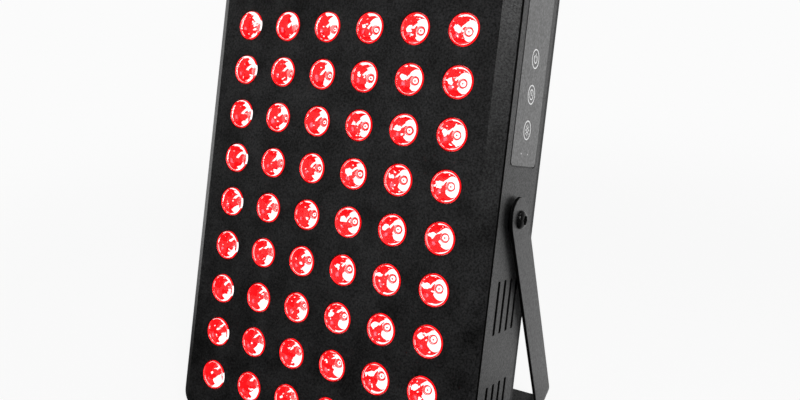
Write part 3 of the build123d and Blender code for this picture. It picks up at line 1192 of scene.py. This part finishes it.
def key_marks():
    """Three rings with a power sign, a clock and a sun."""
    bm = bmesh.new()
    power, clock, sun = [(key_depth, height) for height in key_heights]

    def ring(centre, radius, ink, count):
        ink_stroke(bm, around(radius, even(0.0, ROUND, count)[:-1], centre), ink, closed=True)

    for centre in (power, clock, sun):
        ring(centre, key_ring, ring_ink, count=48)
    open_turns = even(math.radians(130), math.radians(410), 32)
    ink_stroke(bm, around(power_arc, open_turns, power), ring_ink)
    ink_stroke(bm, [(power[0], power[1] + rise) for rise in power_line], ring_ink)
    ring(clock, clock_face, clock_ink, count=32)
    ink_stroke(bm, [(clock[0] + on, clock[1] + rise) for on, rise in clock_hands], clock_ink)
    ring(sun, sun_disc, sun_ink, count=20)
    for turn in even(0.0, ROUND, 8)[:-1]:
        ink_stroke(bm, [around(reach, [turn], sun)[0] for reach in sun_rays], sun_ink)
    return bm


# The printed marks carry a faint painted glow that brightens them
make_piece("touch_marks", key_marks(), [ink_with_faint_glow])

# %% The two small lights
light_height = 36.6
light_spread = 5.2
light_radius = 0.4


def light_dots():
    """Two small round lights under the keys."""
    bm = bmesh.new()
    dot = [(0.0, ink_height), (light_radius, ink_height), (light_radius, 0.0), (0.0, 0.0)]
    for offset in (-light_spread, light_spread):
        turned(bm, dot, (film_face, key_depth + offset, light_height), axis=X, count=16)
    return bm


make_piece("touch_lights", light_dots(), [ink_with_faint_glow])

# %% [markdown]
# The bracket began as a flat strip of steel with round ends, and it was bent twice. It is
# drawn that way too: a flat blank whose length is measured along the finished shape, with
# its edges rounded while it is flat, and then each vertex is carried round the bends.

# %% Bending the strap
strap_thickness = 2.0
bend_radius = 15.0
strap_points = drawn("stand_bracket", bracket_place)
arm_outside = extent(strap_points, X)[1]
strap_half = extent(strap_points, Y)[1]
bar_outside = -extent(strap_points, Z)[0]
arm_middle = arm_outside - strap_thickness / 2
bar_middle = bar_outside - strap_thickness / 2
arm_length = bar_middle - bend_radius
bend_length = bend_radius * math.pi / 2
half_bar = arm_middle - bend_radius
pivot_run = half_bar + bend_length + arm_length


def bent(run, width, height):
    """Where a point of the flat blank lies when the strap is bent."""
    sign = math.copysign(1.0, run)
    run = abs(run)
    if run < half_bar:
        return Vector((sign * run, width, -bar_middle - height))
    if run < half_bar + bend_length:
        turn = (run - half_bar) / bend_radius
        reach = bend_radius + height
        across = half_bar + reach * math.sin(turn)
        return Vector((sign * across, width, -arm_length - reach * math.cos(turn)))
    rise = run - half_bar - bend_length
    return Vector((sign * (arm_middle + height), width, rise - arm_length))


print("blank", round(2 * (pivot_run + strap_half), 1), "x", round(2 * strap_half, 1), "mm")

# %% One side of the strap
end_reach = strap_half + 1.8
strap_bore = 3.05
bend_steps = 14
end_steps = 24


def strap_side(bm, height):
    """One flat side of the blank, with its round ends and its two bores."""
    runs = even(half_bar, half_bar + bend_length, bend_steps) + [pivot_run - strap_half]
    stations = [-run for run in reversed(runs)] + [0.0] + runs
    rows = [
        [bm.verts.new((run, width, height)) for width in (-strap_half, strap_half)]
        for run in stations
    ]
    for row, next_row in zip(rows, rows[1:]):
        bm.faces.new((row[0], next_row[0], next_row[1], row[1]))
    for row, sign in ((rows[0], -1), (rows[-1], 1)):
        end = []
        for turn in even(-QUARTER, QUARTER, end_steps):
            run = pivot_run + end_reach * math.cos(turn)
            end.append(bm.verts.new((sign * run, strap_half * math.sin(turn), height)))
        circle = circle_loop(strap_bore, count=32)
        bore = [bm.verts.new((sign * pivot_run + x, y, height)) for x, y in circle]
        fill(bm, [row[0], *end, row[1]], bore)


# %% The strap
strap_edge = 0.3


def strap_mesh():
    """Both sides of the blank and its cut edges, rounded and then bent."""
    bm = bmesh.new()
    for height in (-strap_thickness / 2, strap_thickness / 2):
        strap_side(bm, height)

    def flat_place(vertex):
        return round(vertex.co.x, 3), round(vertex.co.y, 3)

    tops = {flat_place(vertex): vertex for vertex in bm.verts if vertex.co.z > 0}
    single = [edge for edge in bm.edges if len(edge.link_faces) == 1]
    for edge in single:
        first, second = edge.verts
        if first.co.z < 0:
            bm.faces.new((first, second, tops[flat_place(second)], tops[flat_place(first)]))
    rims = [edge for edge in bm.edges if edge.calc_face_angle(0.0) > SHARP]
    bmesh.ops.recalc_face_normals(bm, faces=bm.faces)
    # The cut edges are painted black as shade; the flat sides keep the paint
    for face in bm.faces:
        face.material_index = int(abs(face.normal.z) < 0.5)
    bmesh.ops.bevel(
        bm, geom=rims, offset=strap_edge, segments=3, affect="EDGES", profile=0.5, material=0
    )
    for vertex in bm.verts:
        vertex.co = bent(*vertex.co)
    return bm


strap_finish = [bracket_paint, painted_shade_black]
make_piece(
    "bent_strap", strap_mesh(), strap_finish, ["stand_bracket"],
    "stand", bracket_place,
)

# %% [markdown]
# A button-head bolt is turned, apart from its hexagonal socket. The socket's rings have
# as many points as the head's, laid out on a hexagon, so the dome runs into it without a
# seam. The same drawing, at another size, gives the small screws of the back cover.

# %% Socket heads
mouth_round = 0.3
point_share = 0.2


def hexagon_loop(across_flats, count):
    """Points round a hexagon, evenly spaced in angle."""
    points = []
    for turn in even(0.0, ROUND, count)[:-1]:
        from_flat = turn % (ROUND / 6) - ROUND / 12
        points += around(across_flats / 2 / math.cos(from_flat), [turn])
    return points


def bolt_head(bm, centre, axis, out, profile, socket, socket_depth, count=48):
    """A turned head with a hexagonal socket. Out is the way the head points, 1 or -1."""
    mouth = profile[-1][1]
    loops = [(circle_loop(radius, count), along) for radius, along in profile]
    loops += [
        (hexagon_loop(socket + mouth_round, count), mouth),
        (hexagon_loop(socket, count), mouth - mouth_round / 2),
        (hexagon_loop(socket, count), mouth - socket_depth),
        (circle_loop(socket * point_share, count), mouth - socket_depth - socket * point_share / 2),
    ]
    rings = [axis_ring(bm, points, out * along, centre, axis) for points, along in loops]
    stack(bm, rings)
    bm.faces.new(rings[0])
    bm.faces.new(rings[-1])


# %% The pivot bolts
head_radius = 5.25
head_rim = 0.6
head_chamfer = 0.25
shank_radius = strap_bore - 0.2
shank_end = -strap_thickness - 2.0
crown_radius = 2.9
socket_width = 5.0
socket_depth = 2.0
dome_steps = 8
head_height = extent(drawn("pivot_bolts"), X)[1] - arm_outside


def pivot_bolt_profile():
    """Shank, rim and domed head, from the wall outwards."""
    points = [(shank_radius, shank_end), (shank_radius, 0.0), (head_radius - head_chamfer, 0.0)]
    points += [(head_radius, head_chamfer), (head_radius, head_rim)]
    reach = math.acos(crown_radius / head_radius)
    for turn in even(0.0, reach, dome_steps)[1:]:
        rise = (head_height - head_rim) * math.sin(turn) / math.sin(reach)
        points.append((head_radius * math.cos(turn), head_rim + rise))
    return points


bolts = bmesh.new()
for out in (1, -1):
    centre = (out * arm_outside, 0.0, 0.0)
    bolt_head(bolts, centre, X, out, pivot_bolt_profile(), socket_width, socket_depth)
make_piece("pivot_bolt_heads", bolts, [black_steel], ["pivot_bolts"])

# %% [markdown]
# On the back, small button screws hold the cover to the flange of the walls, and four
# more hold the fan. They are too small for the engineering model, and they sit where such
# a cover has them: in the corners, half way along the edges, and round the grille.

# %% Back cover screws
cover_screw_inset = 6.5
fan_screw_pitch = 82.5
screw_socket = 2.0
screw_socket_depth = 1.0
fan_height = sum(extent(drawn("fan_frame"), Z)) / 2
screw_profile = [(1.4, -0.5), (1.4, 0.0), (2.6, 0.0), (2.75, 0.15), (2.75, 0.4)]
screw_profile += [(2.6, 0.8), (2.25, 1.15), (1.75, 1.4), (1.3, 1.5)]


def screw_places():
    """Across and height of each screw on the back."""
    reach_x = side - cover_screw_inset
    reach_z = top - cover_screw_inset
    edge = [(x, z) for x in (-reach_x, 0.0, reach_x) for z in (-reach_z, 0.0, reach_z) if x or z]
    half = fan_screw_pitch / 2
    return edge + [(x, fan_height + z) for x in (-half, half) for z in (-half, half)]


screws = bmesh.new()
for x, z in screw_places():
    centre = (x, back, z)
    bolt_head(screws, centre, Y, 1, screw_profile, screw_socket, screw_socket_depth, count=24)
make_piece("back_screws", screws, [black_steel])

# %% [markdown]
# Some solids already have the right shape, and lack only the small round that every real
# edge has. A copy of such a mesh is cleaned of the triangles that split its flat faces,
# its sharp edges are rounded, and the copy stands for the solid.

# %% Softened copies
FLAT = math.radians(0.5)

for node, material, slot, body, edge in (
    ("rear_cover", case_paint, "case_paint", "panel", 0.25),
    ("inlet_socket", socket_plastic, "socket_plastic", "panel", 0.4),
    ("inlet_pins", contact_metal, "contact_metal", "panel", 0.3),
    ("switch_body", socket_plastic, "socket_plastic", "panel", 0.3),
    ("switch_rocker", rocker_plastic, "rocker_plastic", "rocker", 0.3),
    ("pivot_spacers", socket_plastic, "socket_plastic", "panel", 0.3),
    ("stand_pads", pad_rubber, "pad_rubber", "stand", 0.7),
):
    copy = bmesh.new()
    copy.from_mesh(frame["nodes"][node].data)
    bmesh.ops.remove_doubles(copy, verts=copy.verts, dist=CLOSE * MM)
    bmesh.ops.dissolve_limit(copy, angle_limit=FLAT, verts=copy.verts, edges=copy.edges)
    make_piece(f"{node}_soft", copy, [material], [node], body, Matrix.Identity(4), edge)

# %% [markdown]
# The pieces inside the case hardly show, but the vents and the grille give a glimpse of
# them, and the model can be taken apart. They keep their solids and get real finishes.

# %% Inner finishes
inner_finishes = {
    "led_board": lamp_board_white,
    "board_standoffs": standoff_brass,
    "heat_sink": sink_aluminium,
    "fan_frame": fan_plastic,
    "fan_rotor": fan_plastic,
    "led_driver": driver_sheet,
    "touch_board": circuit_green,
    "pivot_nuts": zinc_steel,
}
for node, material in inner_finishes.items():
    data = frame["nodes"][node].data
    data.materials.clear()
    data.materials.append(material)
print("inner pieces", len(inner_finishes))

# %% [markdown]
# The panel stands on a plain pale floor. A white floor under soft light is never quite
# white, so the part of it that the camera and the reflections see is helped by a plain
# glow, and the rest keeps the soft shadow of the panel.

# %% The floor's finish
BACKGROUND = 0.965
BACKDROP = 0.84
ROOM_DARK = 0.03
shadow_reach, glow_reach = 0.4, 1.6


def floor_material():
    """Pale, with a plain glow where it is the background. The glow is all there is far away."""
    values = {"Base Color": grey(0.45), "Roughness": 0.9}
    material, tree, shader = new_material("pale floor", values)
    do = partial(math_node, tree)
    path = add(tree, "LightPath")
    place = mesh_place(tree)
    distance = vector_node(tree, "LENGTH", place)["Value"]
    behind = ease(tree, add(tree, "SeparateXYZ", {0: place})["Y"], low=-0.04, high=0.14)
    mirrored = do("MAXIMUM", path["Is Glossy Ray"], path["Is Transmission Ray"])
    fade = ease(tree, distance, shadow_reach, glow_reach, start=0.75)
    seen = do("MULTIPLY", path["Is Camera Ray"], fade)
    in_camera = ease(tree, distance, shadow_reach, glow_reach, start=1.18, end=BACKGROUND)
    in_camera = do("MULTIPLY", in_camera, do("SUBTRACT", 1.0, mirrored))
    in_mirror = do("MULTIPLY_ADD", behind, BACKDROP - ROOM_DARK, ROOM_DARK)
    in_mirror = do("MULTIPLY", in_mirror, mirrored)
    strength = do("ADD", in_mirror, in_camera)
    glow = add(tree, "Emission", {"Color": grey(1.0), "Strength": strength})[0]
    share = do("MAXIMUM", seen, mirrored)
    both = add(tree, "MixShader", {0: share, 1: shader.outputs[0], 2: glow})[0]
    plug(tree, tree.nodes["Material Output"], {"Surface": both})
    return material


# %% The floor
floor_size = 30.0


def pale_floor():
    """A large flat square under the panel."""
    half = floor_size / 2
    corners = [(-half, -half, 0), (half, -half, 0), (half, half, 0), (-half, half, 0)]
    mesh = bpy.data.meshes.new("floor")
    mesh.from_pydata(corners, [], [(0, 1, 2, 3)])
    mesh.materials.append(floor_material())
    floor = show("floor", mesh)
    print("floor", floor_size, "m wide")


pale_floor()

# %% [markdown]
# The room is white behind the panel and dark in front of it, as in a studio with a lit
# backdrop. That is what shapes black paint: the sides mirror the backdrop and look grey,
# and the front mirrors the dark room and stays black. The world shader does this by the
# direction that a ray leaves in, and the camera itself sees plain white.

# %% The room
def build_world():
    """A white backdrop that fades with height, in a dark room."""
    world = bpy.data.worlds.new("studio")
    world.use_nodes = True
    bpy.context.scene.world = world
    tree = world.node_tree
    seen = add(tree, "LightPath")["Is Camera Ray"]
    direction = add(tree, "TexCoord")["Generated"]
    ways = add(tree, "SeparateXYZ", {0: direction})
    height = ease(tree, ways["Z"], low=0.0, high=0.45, start=1.0, end=0.3)
    backdrop = ease(tree, ways["Y"], low=0.05, high=0.5, start=ROOM_DARK, end=BACKDROP)
    backdrop = math_node(tree, "MULTIPLY", backdrop, height)
    seen = math_node(tree, "MULTIPLY", seen, BACKGROUND)
    strength = math_node(tree, "MAXIMUM", backdrop, seen)
    plug(tree, tree.nodes["Background"], {"Color": grey(1.0), "Strength": strength})
    print("world", world.name)


build_world()

# %% [markdown]
# Four soft lights: a tall narrow one on the left that draws the thin lines on the edges, a
# strong small one high on the right, a weak wide one in front and one above. An area
# light's brightness as seen in a mirror is its power over its area, so the helper takes
# the brightness and works out the power.

# %% The lights
object_middle = Vector((0.0, 0.0, 0.16))


def soft_light(name, place, width, height, brightness):
    """A rectangular light that faces the panel."""
    light = bpy.data.lights.new(name, "AREA")
    light.shape = "RECTANGLE"
    light.size = width
    light.size_y = height
    light.energy = brightness * math.pi * width * height
    lamp = show(name, light)
    lamp.location = place
    lamp.rotation_euler = (object_middle - Vector(place)).to_track_quat("-Z", "Y").to_euler()
    lamp.visible_camera = False
    print(name, round(light.energy, 2), "W")


soft_light("left light", (-1.3, -0.2, 0.45), width=0.1, height=1.0, brightness=9.0)
soft_light("right light", (0.77, -0.68, 0.98), width=0.3, height=0.5, brightness=17.5)
soft_light("front light", (-0.55, -1.3, 0.5), width=0.9, height=0.9, brightness=0.5)
soft_light("top light", (0.0, 0.1, 1.5), width=0.9, height=0.6, brightness=2.5)

# %% [markdown]
# The camera looks from the photograph's place: close, to the right and a little above,
# pitched down. Its heading, pitch and roll were found by lining up the rows of lamps and
# the edges of the case. The picture's middle isn't the lens's middle, which a small
# vertical shift takes care of.

# %% The camera
camera_place = pivot + Vector((0.2454, -0.3653, 0.1206))
camera_heading = math.radians(30.53)
camera_pitch = math.radians(-13.55)
camera_roll = math.radians(-0.31)
camera_data = bpy.data.cameras.new("camera")
camera_data.lens = 32.52
camera_data.sensor_width = 36.0
camera_data.shift_y = -0.0353
camera_data.clip_start = 0.01
camera = show("camera", camera_data)
camera.matrix_world = (
    Matrix.Translation(camera_place)
    @ Matrix.Rotation(camera_heading, 4, "Z")
    @ Matrix.Rotation(math.pi / 2 + camera_pitch, 4, "X")
    @ Matrix.Rotation(camera_roll, 4, "Z")
)
bpy.context.scene.camera = camera
print("camera", [round(value, 3) for value in camera_place])

# %% Colour
bpy.context.scene.view_settings.view_transform = "Standard"
